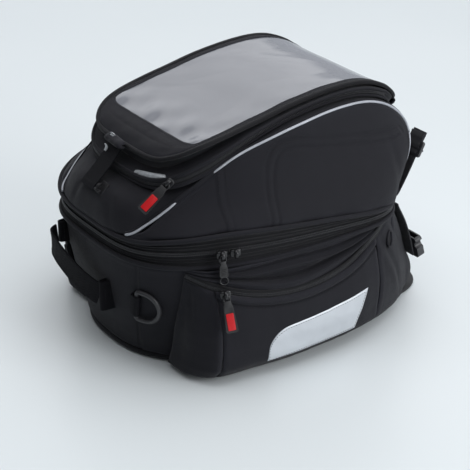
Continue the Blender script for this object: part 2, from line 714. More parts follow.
def pocket_line(z):
    """The pocket's outer face at one height, from its front edge to its rear edge."""
    z = round(min(max(z, 6.0), 122.0), 1)
    if z not in pocket_lines:
        flat = along(POCKET_ROWS, z)
        pocket_lines[z] = curve([(flat[k], flat[k + 1], z) for k in range(0, 16, 2)], 240)
    return pocket_lines[z]


def pocket_zip_z(x):
    """Height of the pocket's zip, from its arc."""
    middle, high, radius = POCKET_ZIP
    return high - 0.8 * math.sqrt(max(radius ** 2 - (x - middle) ** 2, 0))


def on_pocket(x, z):
    """The pocket's face at one place of its side view."""
    face = pocket_line(z)
    return (x, np.interp(x, face[:, 0], face[:, 1]), z)


def between_marks(low_x, high_x, z):
    """The pocket's face between two places along it, at one height."""
    face = pocket_line(z)
    cut = [p for p in face if low_x < p[0] < high_x]
    first = [on_pocket(low_x, z)] if low_x > face[0, 0] else [face[0]]
    last = [on_pocket(high_x, z)] if high_x < face[-1, 0] else [face[-1]]
    return np.array(first + cut + last)


def pocket_grid(low_x, high_x, bottom, top, wide, tall):
    """The pocket's face between two places along it and two lines, each giving a height for an x."""
    columns = []
    middle_line = even(between_marks(low_x, high_x, 64), wide)
    for k in range(wide + 1):
        column = []
        for t in np.linspace(0, 1, tall + 1):
            x = middle_line[k, 0]
            for _ in range(3):
                z = bottom(x) + (top(x) - bottom(x)) * t
                spot = even(between_marks(low_x, high_x, z), wide)[k]
                x = spot[0]
            column.append((x, spot[1], z))
        columns.append(column)
    return np.array(columns).transpose(1, 0, 2)


face_grid = pocket_grid(GUSSET_FRONT, GUSSET_REAR, lambda x: 6.2, lambda x: pocket_zip_z(x) - 2.6, 132, 64)
front_grid = pocket_grid(-300, GUSSET_FRONT, lambda x: 6.2, lambda x: min(pocket_zip_z(x) - 2.6, 122), 40, 64)
rear_grid = pocket_grid(GUSSET_REAR, 300, lambda x: 6.2, lambda x: min(pocket_zip_z(x) - 2.6, 122), 60, 64)
top_grid = pocket_grid(-300, 96, lambda x: min(pocket_zip_z(x) + 2.6, 121.9), lambda x: 124.4, 160, 26)


def mirror_grid(grid, y):
    """The grid itself for the right-hand side, and its reflection for the left."""
    return grid if y < 0 else grid * np.array([1, -1, 1])


for side_name, y in SIDES:
    face = mirror_grid(face_grid, y)
    u, v, side, _ = measured(face)
    from_top = v[-1:] - v
    lift = turned_in(side, v, 1.4) + 0.9 * ripple(face, 80, 1.5 * y) + 0.22 * ripple(face, 18, 2.0)
    # A rolled edge stands along the zip, with the sewn groove below it
    lift += 1.4 * groove(from_top - 4.5, 3.0) - 2.0 * groove(from_top - 9.5, 1.2)
    lift -= 1.2 * groove(from_top, 1.6)
    lift += 1.1 * np.clip((9.5 - from_top) / 1.5, 0, 1)
    lift += 0.9 * groove(v - 20, 9) - 0.9 * groove(u + 60 + 0.5 * v, 12) * groove(v - 45, 26)
    pocket = panel("pocket_front_" + side_name, face, lift, "tub", "pocket_face_" + side_name, thick=2.0,
                   fill=0.3)
    rows = [[(x, on_pocket(x, pocket_zip_z(x) - drop)[1] * -y, pocket_zip_z(x) - drop)
             for x in np.linspace(-119, 75, 60)] for drop in (10.6, 13.0)]
    sew("pocket_front_stitches_" + side_name, pocket, "tub", rows)

    gusset = mirror_grid(front_grid, y)
    u, v, side, ends = measured(gusset)
    lift = turned_in(side, ends, 1.5) + 1.1 * ripple(gusset, 50, 0.6 * y) + 0.3 * ripple(gusset, 14, 1.0)
    lift += 2.2 * groove(u + 2, 11) * groove(v - 52, 40)
    lift -= 0.9 * groove(u - 5 + 0.16 * v, 4) * groove(v - 85, 22)
    panel("pocket_nose_gusset_" + side_name, gusset, lift, "tub", "pocket_front_gusset_" + side_name,
          thick=2.0)

    gusset = mirror_grid(rear_grid, y)
    u, v, side, ends = measured(gusset)
    lift = turned_in(side, ends, 1.5) + 1.0 * ripple(gusset, 60, 1.9 * y) + 0.3 * ripple(gusset, 15, 3.0)
    lift -= 1.3 * groove(u - 12 + 0.30 * v, 5.0) * groove(v - 60, 50)
    lift += 1.1 * groove(u - 2 + 0.30 * v, 6.0) * groove(v - 60, 50)
    panel("pocket_tail_gusset_" + side_name, gusset, lift, "tub", "pocket_rear_gusset_" + side_name,
          thick=2.0)

    slack = mirror_grid(top_grid, y)
    u, v, _, _ = measured(slack)
    share = v / np.maximum(v[-1:], 1e-6)
    room = np.clip(v[-1:] / 24, 0, 1)
    wave = 0.05 * np.sin(u / 23 + y)
    lift = room * (5.0 * groove(share - 0.22 - wave, 0.11) - 5.2 * groove(share - 0.44 - wave, 0.045)
                   + 4.4 * groove(share - 0.62 + wave, 0.09) - 4.6 * groove(share - 0.84 + wave, 0.04))
    lift += 0.5 * ripple(slack, 26, 2.0 * y) * room
    panel("pocket_slack_" + side_name, slack, lift, "tub", "pocket_top_" + side_name, thick=1.6)

    # A small cloth garage takes the slider at the zip's rear end
    turns = np.linspace(0, 2 * math.pi, 49)
    rim = np.array([on_pocket(100 + 4.8 * math.cos(t) + 2.2 * math.sin(t), 101.5 + 7.5 * math.sin(t))
                    for t in turns])
    rim = mirror_grid(rim + np.array([0.4, -1.0, 0]), y)
    away = np.broadcast_to([0.38, 0.92 * y, 0.1], rim.shape)
    lip = sweep("pocket_garage_lip_" + side_name, rim, away, ring_round(1.3), closed_path=True)
    fit(lip, [outer_cloth], "tub", "binding")
    hollow = np.array([rim + (rim.mean(0) - rim) * t - away * 0.5 for t in np.linspace(0, 0.98, 8)])
    mouth = cloth("pocket_garage_mouth_" + side_name, hollow, outward=(0.38, 0.92 * y, 0.1), thick=0.5,
                  closed="ring")
    fit(mouth, [tape_cloth], "tub", "zip_tape")

    arc = mirror_grid(np.array([on_pocket(x, pocket_zip_z(x)) for x in np.linspace(-140.6, 94, 150)]), y)
    run = np.gradient(arc, axis=0)
    outward = np.cross(run, [0.0, 0, 1])
    outward = unit(outward * np.sign(outward[:, 1:2]) * y)
    tape_profile = [(-0.6, -5.0), (0.9, -4.2), (1.2, -3.0), (0.5, -1.4), (0.3, 0), (0.5, 1.4), (1.2, 3.0),
                    (0.9, 4.2), (-0.6, 5.0), (-1.2, 3.0), (-1.4, 0), (-1.2, -3.0)]
    tape = sweep("pocket_tape_" + side_name, arc, outward, tape_profile)
    fit(tape, [tape_cloth], "tub", "zip_tape", "pocket_zip_" + side_name)
    rise = np.cross(outward, unit(run))
    rise *= np.sign(rise[:, 2:3])
    for row_name, step, shift in (("low", -0.95, 0), ("high", 0.95, 2)):
        teeth(f"pocket_coil_{row_name}_{side_name}", arc + outward * 0.5 + rise * step, outward, rise, 1.7,
              (1.1, 1.2, 1.8), shift, "tub")

# --- Reflective patches on the pockets ------------------------------------------------------------
# A sheet of satin silver reflective film is sewn low on each pocket, stitched all round its edge. It is
# cut slanting at its rear end and has one big round corner towards the nose.

PATCH_FOOT = ((-70, 16.5), (-30, 18.2), (10, 20), (41, 21.6))
PATCH_TOP = ((-70.6, 26), (-69.5, 36), (-66.5, 43.5), (-61, 49.5), (-52, 54), (-38, 56), (-10, 58.2),
             (20, 61.5), (56, 66))


def silver_finish():
    """Reflective film: satin silver glass beads with a fine embossed mesh and soft handling creases."""
    material, tree, shader = finish("reflective_silver", 0.36, metal=0.45)
    lie = node(tree, "ShaderNodeUVMap").outputs[0]
    crease = noise(tree, 26.0, 3.0, lie, Distortion=0.8)
    cells = node(tree, "ShaderNodeTexVoronoi", {"feature": "DISTANCE_TO_EDGE"}, Vector=lie, Scale=420.0)
    relief = math_of(tree, "ADD", math_of(tree, "MULTIPLY", noise(tree, 2600.0, 2.0, lie), 0.12),
                     math_of(tree, "MULTIPLY", crease, 0.9))
    relief = math_of(tree, "ADD", relief, math_of(tree, "MULTIPLY", cells.outputs[0], 0.05))
    tone = between(tree, crease, (0.50, 0.525, 0.56), (0.68, 0.71, 0.75))
    surface(tree, shader, tone, relief, 0.55, 0.0012, (crease, 0.28, 0.46))
    return material


reflective_silver = silver_finish()
low_edge, high_edge = curve(PATCH_FOOT, 96), curve(PATCH_TOP, 96)
for side_name, y in SIDES:
    below = bpy.data.objects["pocket_front_" + side_name]
    grid = []
    for t in np.linspace(0, 1, 34):
        row = []
        for low, high in zip(low_edge, high_edge):
            x, z = low + (high - low) * t
            _, spot, up, _ = below.ray_cast(Vector((x, 300 * y, z)) * MM, Vector((0, -y, 0)))
            row.append(np.array(spot) / MM + np.array(up) * 0.75)
        grid.append(row)
    grid = np.array(grid)
    _, _, side, ends = measured(grid)
    sheet_lift = 0.25 * ripple(grid, 30, 2.0) - 0.55 * groove(np.minimum(side, ends), 1.1)
    patch = cloth("silver_patch_" + side_name, grid + facing(grid) * sheet_lift[..., None], thick=0.7)
    fit(patch, [reflective_silver, reflective_silver], "tub", "reflective_patch",
        "reflective_patch_" + side_name)
    border = [grid[2, 2:-3], grid[2:-2, -3], grid[-3, 2:-3], grid[2:-2, 2]]
    sew("silver_patch_stitches_" + side_name, patch, "tub", border, pitch=3.0, thick=0.26)

# --- Lid: side panels -----------------------------------------------------------------------------
# The lid's padded sides are cut from cloth over foam. A double-felled seam parts off the nose end, and a
# doubled line of topstitching arches over the middle of each.

LID = ((128, -182, 139, 147, 3.4), (150, -183, 148, 146, 3.4), (163, -181, 157, 142, 2.6),
       (178, -176, 168, 137, 2.1), (192, -154, 175, 131, 2.5), (209, -124, 175, 124, 3.4),
       (226, -100, 168, 118, 3.4), (240, -80, 157, 113, 3.4), (252, -55, 142, 109, 3.4),
       (268, -20, 120, 102, 3.4))
PIPING = ((-177, 153), (-146, 175), (-95, 209), (-63, 226), (-29, 238), (5, 246), (54, 251), (93, 248),
          (125, 235), (147, 214), (152, 194), (141, 166), (126, 137))


def half_width(x, nose, rear, half, blunt):
    """Half the width of a plan outline at one place along the bag."""
    if x < MIDDLE:
        return half * (1 - min((MIDDLE - x) / (MIDDLE - nose), 1) ** 2.2) ** (1 / blunt)
    return half * (1 - min((x - MIDDLE) / (rear - MIDDLE), 1) ** 4) ** 0.25


def lid_y(x, z):
    """Half the lid's width at one place of its side view."""
    return half_width(x, *along(LID, z))


def on_lid(x, z, y=-1):
    """A point of the lid's side wall from its side view."""
    return np.array([x, y * lid_y(x, z), z])


piping_line = curve(PIPING, 200)
foot_x = np.interp(np.linspace(0, 1, 201), (0, 0.1, 0.62, 0.8, 1), (-177, -166, 62, 112, 128.5))
foot_line = np.array([(x, cord_z(x) + 0.2) for x in foot_x])
side_rows = []
for t in np.linspace(0, 1, 78):
    flat = foot_line + (piping_line - foot_line) * t
    side_rows.append(even([on_lid(x, z) for x, z in flat], 200))
lid_side_grid = np.array(side_rows)
FRONT_SEAM = ((-80, 241), (-91, 215), (-98, 185), (-102, 154))
ARC_SEAM = ((128, 206), (101, 208), (60, 214), (17, 221), (-8, 225.5), (-26, 223), (-36, 211), (-42, 190),
            (-47, 155))


def off_line(grid, seam):
    """Distance of each point from a seam, in side view, and the side of it that the point is on."""
    line = curve(seam, 160)
    spot = grid[..., [0, 2]]
    gaps = spot[:, :, None, :] - line[None, None]
    far = np.linalg.norm(gaps, axis=3)
    nearest = far.argmin(2)
    run = np.gradient(line, axis=0)[nearest]
    gap = np.take_along_axis(gaps, nearest[..., None, None], 2)[:, :, 0]
    return far.min(2) * np.sign(run[..., 0] * gap[..., 1] - run[..., 1] * gap[..., 0])


# The foot stands out to meet the band's cord
foot_flare = np.array([[max(half_width(x, *BAND) - lid_y(x, z) - 1.4, 0) for x, _, z in row]
                       for row in lid_side_grid])
front_gap, arc_gap = off_line(lid_side_grid, FRONT_SEAM), off_line(lid_side_grid, ARC_SEAM)
for side_name, y in SIDES:
    grid = mirror_grid(lid_side_grid, y)
    u, v, side, ends = measured(grid)
    grid = grid + (foot_flare * groove(v, 17))[..., None] * np.array([0.0, y, 0])
    lift = turned_in(side, ends, 1.1) + 0.8 * ripple(grid, 90, 1.2 * y) + 0.14 * ripple(grid, 20, 5.0)
    lift += 0.75 / (1 + np.exp(-front_gap / 0.7)) - 0.55 * groove(front_gap, 1.1)
    lift -= 0.5 * groove(front_gap - 7, 1.0) + 1.1 * groove(arc_gap, 1.3) + 0.9 * groove(arc_gap + 8, 1.3)
    lift += 1.4 * groove(ends - 45, 34) * groove(u, 120)
    lift += 0.6 * np.sin(grid[..., 0] / 7.5) * groove(v, 9) * groove(ends, 30)
    lift -= 1.2 * groove(grid[..., 0] - 118 + 0.2 * (grid[..., 2] - 180), 6) * groove(grid[..., 2] - 178, 30)
    side_panel = panel("lid_side_" + side_name, grid, lift, "lid", "lid_side_panel_" + side_name, fill=0.5)
    rows = []
    for seam, shifts in ((FRONT_SEAM, (2.6, 9.4)), (ARC_SEAM, (2.4, -5.6, -10.4))):
        line = curve(seam, 90)
        run = runs(line)
        for shift in shifts:
            moved = line + np.stack([-run[:, 1], run[:, 0]], 1) * shift
            rows.append([on_lid(x, z, y) for x, z in moved if z > cord_z(x) + 4 and x < 126])
    edge = piping_line[8:-8]
    rows.append([on_lid(x, z, y) for x, z in edge + (np.array([20.0, 190]) - edge) * 0.045])
    sew("lid_side_stitches_" + side_name, side_panel, "lid", rows)

# --- Lid: front slope, top and rear panels --------------------------------------------------------
# One long piece of cloth over foam runs up the nose, over the top and down the tall end, between the
# pipings. Its middle lies under the organiser; seams cross it in front of that and at the crest.

LID_TOP = ((-220, 172), (-170, 184), (-146, 190), (-120, 200), (-95, 211), (-63, 227), (-29, 239.5), (5, 248),
           (54, 253.5), (93, 251), (130, 237), (152, 215), (220, 140))
CREST_LINE = ((-183.3, 149), (-182.6, 157), (-180.5, 166), (-176.5, 176), (-168, 184.5), (-146, 190.5),
              (-120, 200), (-95, 211), (-63, 227), (-29, 239.5), (5, 248), (54, 253.5), (93, 251), (130, 238),
              (152, 222), (168, 207), (174, 196), (169, 178), (157, 162), (148, 149), (141, 138))
CREST_LIMIT = ((0, 3.4), (0.1, 2.5), (0.2, 2.6), (0.3, 5.0), (0.7, 5.5), (0.85, 4.5), (1.0, 4.3))
crest = curve(CREST_LINE, 400)
flank = curve(PIPING, 400)


def spine_grid(first, last, tall, wide):
    """The long panel between two shares of its length, as a grid of points."""
    rows = []
    for share in np.linspace(first, last, tall + 1):
        k = share * 400
        low, high = int(k), min(int(k) + 1, 400)
        mid = crest[low] + (crest[high] - crest[low]) * (k - low)
        edge = flank[low] + (flank[high] - flank[low]) * (k - low)
        half = lid_y(*edge) - 0.6
        power = along(CREST_LIMIT, share)[0]
        row = []
        for t in np.linspace(-1, 1, 121):
            x, z = mid + (edge - mid) * abs(t) ** power
            row.append((x, -half * t, z))
        rows.append(even(row, wide))
    return np.array(rows)


SLOPE_SHARE, TAIL_SHARE = 0.24, 0.765
slope = spine_grid(0.0, SLOPE_SHARE, 74, 110)
u, v, side, _ = measured(slope)
lift = turned_in(side, v, 1.0) + 0.9 * ripple(slope, 60, 2.3) + 0.22 * ripple(slope, 15, 0.5)
lift += 1.5 * groove(v - 26, 16) * groove(u, 60) - 1.1 * groove(u + 36 - 0.35 * v, 5) * groove(v - 20, 16)
lift -= 0.9 * groove(u - 42 + 0.4 * v, 6) * groove(v - 24, 18)
panel("lid_front_slope_cloth", slope, lift, "lid", "lid_front_slope", fill=0.5)

top = spine_grid(SLOPE_SHARE, TAIL_SHARE, 130, 100)
_, _, side, ends = measured(top)
lift = turned_in(side, ends, 1.0) + 0.5 * ripple(top, 60, 1.1) - 0.9 * groove(side - 14, 7)
panel("lid_top_cloth", top, lift, "lid", "lid_top_panel", fill=0.4)

tail = spine_grid(TAIL_SHARE, 1.0, 64, 120)
u, v, side, ends = measured(tail)
lift = turned_in(side, ends, 1.2) + 1.0 * ripple(tail, 60, 0.4) + 0.25 * ripple(tail, 16, 2.0)
lift += 0.9 * np.sin(u / 8.5) * groove(v[-1:] - v - 10, 12) * groove(u, 90)
lid_rear = panel("lid_rear_cloth", tail, lift, "lid", "lid_rear_panel", fill=0.3)
rear_rows = [[(x, y, z) for x, z in curve(((168, 200), (172, 192), (166, 176), (154, 158), (146, 146)), 30)]
             for y in (-88, 88, -62, 62)]
sew("lid_rear_stitches", lid_rear, "lid", rear_rows)

# --- Reflective piping ----------------------------------------------------------------------------
# A light grey reflective cord runs along the seam between each side and the long panel. Its flange of
# the outer cloth is sewn into the seam, and beside the organiser the cord sinks in with it.


# Reflective piping tape: light grey, finely beaded, drawn smooth round its cord
reflective_grey = mottled("reflective_grey", 0.42, (0.26, 0.27, 0.30), (0.50, 0.52, 0.57), (45.0, 4.0), 0.3,
                          0.0003, relief=(1800.0, 2.0), metal=0.25)
TUCKED_AT, TUCKED_HALF = -112.0, 21.0
for side_name, y in SIDES:
    path = np.array([on_lid(x, z, y) for x, z in curve(PIPING, 320)])
    ahead = np.interp(path[:, 0], (-177, -130, 100, 152), (-0.9, -0.3, 0.0, 0.5))
    away = unit(np.stack([ahead, np.full(len(path), float(y)), np.full(len(path), 0.4)], 1))
    path = path + away * 0.5
    # Beside the organiser the cord is drawn down into its seam, under the fold of the cloth
    buried = 1 / (1 + np.exp((np.abs(path[:, :1] - TUCKED_AT) - TUCKED_HALF) / 2.5))
    cord = sweep("piping_cord_" + side_name, path - away * 3.0 * buried, away, ring_round(1.35, 1.0, 10))
    fit(cord, [reflective_grey], "lid", "reflective_piping", "reflective_piping_" + side_name)
    flange = sweep("piping_flange_" + side_name, path - away * 0.9, away,
                   [(-0.8, -3.2), (0.1, -2.9), (0.35, -1.6), (0.35, 1.6), (0.1, 2.9), (-0.8, 3.2)])
    fit(flange, [outer_cloth], "lid", "binding")

# --- Organiser pocket -----------------------------------------------------------------------------
# A flat pocket sewn on the lid's top: a zipped side wall between two rolled cords, and a clear sheet
# that shows what is inside, held in a cloth surround.

ORGANISER_TOP = ((-220, 190), (-147, 199), (-131, 207), (-104, 221), (-60, 238), (-29, 247), (12, 255.5),
                 (63, 261), (100, 258), (130, 246), (152, 228), (220, 160))
ORGANISER = (-147, 160, 98, 3.4, 5.0, 5.0)
crest_height = ((-184, 176), (-172, 183), *LID_TOP[2:-1], (164, 206), (220, 140))


def organiser_path(out, high, count=420):
    """A closed line round the organiser, with outward directions; high 0 is its foot and 1 its top."""
    nose, rear, half, blunt, nose_p, rear_p = ORGANISER

    def height(x):
        foot = along(crest_height, x)[0]
        return foot + 0.6 + (along(ORGANISER_TOP, x)[0] - foot - 0.6) * high

    line = even(plan(0, nose - out, rear + out, half + out, blunt, nose_p, rear_p), count)
    line[:, 2] = [height(x) for x in line[:, 0]]
    return line, outwards(line, True)


wall_rows = []
WALL_BULGE = (-1.0, 0.3, 1.3, 1.4, 0.9, 0.1, -0.5, -0.9, -1.0, -1.0, -0.9, -0.5, 0.1, 0.7, 1.1, 0.9, 0.2,
              -0.8)
for high, out in zip(np.linspace(-0.12, 1.0, len(WALL_BULGE)), WALL_BULGE):
    line, outward = organiser_path(-0.9, high)
    wall_rows.append(line + outward * out)
wall = np.array(wall_rows)
lift = 0.5 * ripple(wall, 45, 2.4) + 0.2 * ripple(wall, 14, 1.4)
organiser_wall = cloth("organiser_wall", wall + facing(wall) * lift[..., None], thick=1.4, closed="ring")
fit(organiser_wall, [outer_cloth, lining], "lid", "cloth", "organiser_pocket")
for name, high, radius in (("organiser_top_cord", 0.97, 1.9), ("organiser_foot_cord", 0.02, 1.6)):
    line, outward = organiser_path(-0.6, high)
    cord = sweep(name, line, outward, ring_round(radius, 0.95, 10), closed_path=True, up=(0, 0, 1))
    fit(cord, [outer_cloth], "lid", "binding")
line, outward = organiser_path(-1.2, 0.5)
ahead = line[:, 0] < 130
zip_line, zip_out = line[ahead], outward[ahead]
tape = sweep("organiser_zip_tape", zip_line, zip_out,
             [(-0.8, -4.4), (0.7, -4.2), (0.9, -3.0), (0.4, -1.5), (0.3, 0.0), (0.4, 1.5), (0.9, 3.0),
              (0.7, 4.2), (-0.8, 4.4)], up=(0, 0, 1))
fit(tape, [tape_cloth], "lid", "zip_tape")
for row_name, step, shift in (("low", -0.9, 0), ("high", 0.9, 2)):
    teeth("organiser_coil_" + row_name, zip_line + zip_out * 0.6 + np.array([0, 0, step]), zip_out,
          np.broadcast_to([0.0, 0, 1], zip_line.shape), 1.7, (1.1, 1.2, 1.7), shift, "lid")

VIEW = (-132, 120, 80, 3.4, 5.0, 5.0)
MIDPOINT = (14.995, 15.005, 0.005, 2.0, 2.0, 2.0)


def lay_out(outer, inner, height, rows, drop=0.0, count=360):
    """A grid of points between two plan outlines, at heights given by x."""
    first, last = (even(plan(0, *outline), count) for outline in (outer, inner))
    grid = np.array([first + (last - first) * t for t in np.linspace(0, 1, rows)])
    grid[..., 2] = np.vectorize(lambda x: along(height, x)[0])(grid[..., 0]) - drop
    return grid


def laid(name, grid, lift, thick):
    """A ring-shaped sheet, raised straight up off its grid."""
    return cloth(name, grid + lift[..., None] * np.array([0, 0, 1.0]), (0, 0, 1), thick, "ring")


surround = lay_out((-146.4, 159.4, 97.4, 3.4, 5.0, 5.0), VIEW, ORGANISER_TOP, 10)
_, _, side, ends = measured(surround)
lift = -0.8 * groove(ends, 1.8) + 0.25 * ripple(surround, 25, 1.0)
organiser_surround = laid("organiser_surround", surround, lift, 1.2)
fit(organiser_surround, [outer_cloth, lining], "lid", "cloth")


def vinyl_finish(name, colour, rough, haze):
    """Soft clear vinyl: slightly milky, glossy, with shallow waves and fine handling scratches."""
    material, tree, shader = finish(name, rough, specular=0.8)
    shader.inputs["IOR"].default_value = 1.54
    shader.inputs["Transmission Weight"].default_value = 1 - haze
    wave = noise(tree, 11.0, 2.0, Distortion=1.2)
    place = node(tree, "ShaderNodeTexCoord").outputs[3]
    drawn_out = node(tree, "ShaderNodeMapping", Vector=place, _2=(0, 0, 0.6), _3=(40, 900, 40))
    scratch = noise(tree, 1.0, 3.0, drawn_out.outputs[0])
    relief = math_of(tree, "ADD", wave, math_of(tree, "MULTIPLY", scratch, 0.01))
    tone = between(tree, wave, [c * 0.85 for c in colour], colour)
    surface(tree, shader, tone, relief, 0.35, 0.004, (scratch, max(rough - 0.05, 0.03), rough + 0.08))
    return material


inner_vinyl = vinyl_finish("organiser_vinyl", (0.16, 0.165, 0.18), 0.2, 0.6)
pane_grid = lay_out((-133.5, 121.5, 81.5, 3.4, 5.0, 5.0), MIDPOINT, ORGANISER_TOP, 60, drop=1.4,
                    count=200)
pane = laid("organiser_clear_sheet", pane_grid, 0.35 * ripple(pane_grid, 60, 2.0), 0.6)
fit(pane, [inner_vinyl], "lid", "clear_window", "organiser_pane")


# The edge of clear sheet is milky, and bright where it catches the light
clear_stiffener = mottled("clear_stiffener", 0.12, (0.16, 0.17, 0.19), (0.60, 0.63, 0.66), (220.0, 3.0), 0.4,
                          0.0006, swirl=1.0, coat=0.5, specular=0.9)
# The clear sheet stands up a little at the organiser's front right-hand corner
line, _ = organiser_path(-2.2, 1.0)
corner_run = even([p for p in line if p[0] < -118 and -70 < p[1] < -26], 40)
inward = np.array([0.75, 0.65, 0])
corner_rows = np.array([corner_run + inward * 4.0 * t * t + np.array([0, 0, 6.5 * t * (1 - 0.3 * t)])
                        * np.sin(np.linspace(0, math.pi, 41))[:, None] ** 0.5 for t in np.linspace(0, 1, 9)])
turned_up = cloth("organiser_sheet_corner", corner_rows, outward=(-1, -1, 0.5), thick=0.7)
fit(turned_up, [clear_stiffener, clear_stiffener], "lid", "clear_window")

# --- Map flap -------------------------------------------------------------------------------------
# A flap sewn on at the crest folds down over the organiser. Its cloth frame holds a big clear window with
# round corners, and a thick folded tape binds it all round.

FLAP_TOP = ((-220, 205), (-140, 221), (-129, 227), (-104, 237), (-60, 247), (-29, 253), (12, 261), (63, 266),
            (100, 264), (130, 253), (150, 238), (220, 170))
FLAP = (-140, 166, 92, 4.0, 5.6, 6.0)
WINDOW = (-107, 152, 80, 12.0, 12.0, 7.0)


def grown(outline, out):
    """A plan outline moved out."""
    nose, rear, half, *bluntness = outline
    return (nose - out, rear + out, half + out, *bluntness)


frame_grid = lay_out(grown(FLAP, -2.5), WINDOW, FLAP_TOP, 26)
_, v, _, ends = measured(frame_grid)
ahead = np.clip((-95 - frame_grid[..., 0]) / 30, 0, 1)
lift = -0.9 * groove(v, 2.0) + 0.5 * ripple(frame_grid, 40, 0.7) + 0.2 * ripple(frame_grid, 13, 2.0)
lift += ahead * (1.3 * groove(ends - 12, 8) + 0.5 * np.sin(frame_grid[..., 1] / 7) * groove(v - 6, 5))
flap_frame = laid("flap_frame_cloth", frame_grid, lift, 2.0)
fit(flap_frame, [outer_cloth, outer_cloth], "map_flap", "cloth", "flap_frame")

map_vinyl = vinyl_finish("map_vinyl", (0.27, 0.28, 0.315), 0.16, 0.66)
window_grid = lay_out(grown(WINDOW, 3), MIDPOINT, FLAP_TOP, 80, drop=0.9, count=280)
x, y = window_grid[..., 0], window_grid[..., 1]
_, v, _, _ = measured(window_grid)
sag = -1.3 * np.clip(v / 60, 0, 1) + 0.55 * ripple(window_grid, 70, 3.1)
front_waves = np.exp(-((x + 100) / 30) ** 2) * (0.8 * np.sin(y / 8 + x / 13) + 0.5 * np.sin(y / 4.7 - x / 9))
sag += (front_waves + 0.35 * np.exp(-((np.abs(y) - 70) / 10) ** 2) * np.sin(x / 9)) * np.clip(v / 6, 0, 1)
window = laid("map_window_sheet", window_grid, sag, 0.7)
fit(window, [map_vinyl], "map_flap", "clear_window", "map_window")

flap_line = lay_out(FLAP, FLAP, FLAP_TOP, 2)[0]
binding_fold = [(-5.2, 0.5), (-3.6, 1.0), (-1.6, 1.25), (-0.1, 0.5), (0.4, -1.2), (0.0, -3.0), (-1.4, -3.9),
                (-3.8, -3.7), (-5.2, -3.0), (-4.8, -1.2)]
flap_edge = sweep("flap_edge_binding", flap_line, outwards(flap_line, True), binding_fold, closed_path=True,
                  up=(0, 0, 1))
fit(flap_edge, [webbing_binding], "map_flap", "binding", "flap_binding")
row = lay_out(grown(FLAP, -4.3), FLAP, FLAP_TOP, 2)[0]
sew("flap_edge_stitches", flap_edge, "map_flap", [row + np.array([0, 0, 1.0])])
inset = lay_out(grown(WINDOW, 2.2), WINDOW, FLAP_TOP, 2)[0]
sew("window_stitches", flap_frame, "map_flap", [inset])

crest_edge = lay_out(FLAP, FLAP, FLAP_TOP, 2, count=720)[0]
hinge_run = even([p for p in crest_edge if p[0] > 158 and abs(p[1]) < 78], 60)
hinge_run = hinge_run[np.argsort(hinge_run[:, 1])]
WEB_FOLD = ((-2.0, -2.6), (0.6, -4.2), (1.6, -6.6), (0.4, -9.0), (-3.0, -10.5))
flap_web = cloth("flap_hinge_web", np.array([hinge_run + np.array([a, 0, b]) for a, b in WEB_FOLD]),
                 outward=(1, 0, 0), thick=1.2)
wear(flap_web, outer_cloth, outer_cloth)
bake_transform(flap_web)

# --- Closing strap and its hook -------------------------------------------------------------------
# A strap of 25 mm webbing runs from under the flap's nose down the lid's slope, its end folded and sewn
# over a clear stiffener, with a moulded hook on the slope beside it.

black_webbing = woven("black_webbing", (0.003, 0.003, 0.004), (0.011, 0.011, 0.014), 0.0022, rough=0.6,
                      sheen=0.0, depth=0.9, ribs=True, slant=0.0045, shine=0.1)
strap_webbing = woven("strap_webbing", (0.007, 0.007, 0.009), (0.027, 0.027, 0.034), 0.0022, rough=0.6,
                      sheen=0.15, depth=0.9, ribs=True, slant=0.0045)


def belt(name, line, width, across, *nodes, thick=1.7, body="tub", material=black_webbing):
    """Flat webbing along a line, its width along across, with slightly rounded selvedges."""
    line = curve(line, max(int(steps(np.asarray(line, float)).sum() / 1.5), 8))
    run = runs(line)
    across = np.asarray(across, float)
    across = unit(across - run * (run @ across)[:, None])
    face = np.cross(run, across)
    half = width / 2
    profile = [(t * half, thick / 2) for t in (-0.97, -0.8, -0.4, 0, 0.4, 0.8, 0.97)]
    profile += [(half, thick * 0.2), (half, -thick * 0.2)]
    profile += [(t * half, -thick / 2) for t in (0.97, 0.8, 0.4, 0, -0.4, -0.8, -0.97)]
    profile += [(-half, -thick * 0.2), (-half, thick * 0.2)]
    profile.append(profile[0])
    grid = np.array([line + across * a + face * b for a, b in profile])
    piece = cloth(name, grid, thick=0, closed=True)
    close_up(piece, True)
    piece.select_set(True)
    bpy.ops.object.shade_smooth_by_angle(angle=math.radians(50))
    piece.select_set(False)
    fit(piece, [material], body, "webbing", *nodes)
    return piece


closing = belt("closing_strap_webbing",
               [(-133, 8.5, 221.6), (-137.5, 8.5, 220.6), (-143, 8.5, 216.2), (-148, 8.5, 210.6),
                (-158, 8.5, 199.9), (-168, 8.5, 190.6), (-176.5, 8.5, 183.2), (-178.4, 8.5, 180.2)],
               24, (0, 1, 0), "closing_strap", body="map_flap")
sew("closing_strap_stitches", closing, "map_flap",
    [[(-144, -2, 216.5), (-144, 19, 216.5)], [(-175, -1.5, 185), (-175, 18.5, 185)]])

# The flap's nose: a padded tongue over the strap's upper end, lined with a clear stiffener that peeps out
nose_rows = []
for t in np.linspace(0, 1, 19):
    turn = math.pi * 1.05 * t - 0.12
    row = []
    for s in np.linspace(-1, 1, 25):
        round_off = (1 - abs(s) ** 6) ** 0.5
        row.append((-141.0 - 8.5 * math.sin(turn) * (0.55 + 0.45 * round_off) + 1.5 * s,
                    8.5 + 17 * s, 220.6 + (4.4 * math.cos(turn) + 1.0) * (0.5 + 0.5 * round_off)))
    nose_rows.append(row)
nose = np.array(nose_rows)
nose += facing(nose, (-1, 0, 0.6)) * (0.45 * ripple(nose, 9, 1.4))[..., None]
nose_pad = cloth("flap_nose_tongue", nose, outward=(-1, 0, 0.6), thick=1.6)
fit(nose_pad, [outer_cloth, outer_cloth], "map_flap", "cloth")
PEEPS = (((-142.2, 14.5, 226.3), 7.5, 4.5), ((-149.4, 16.5, 213.0), 4.5, 6.5))
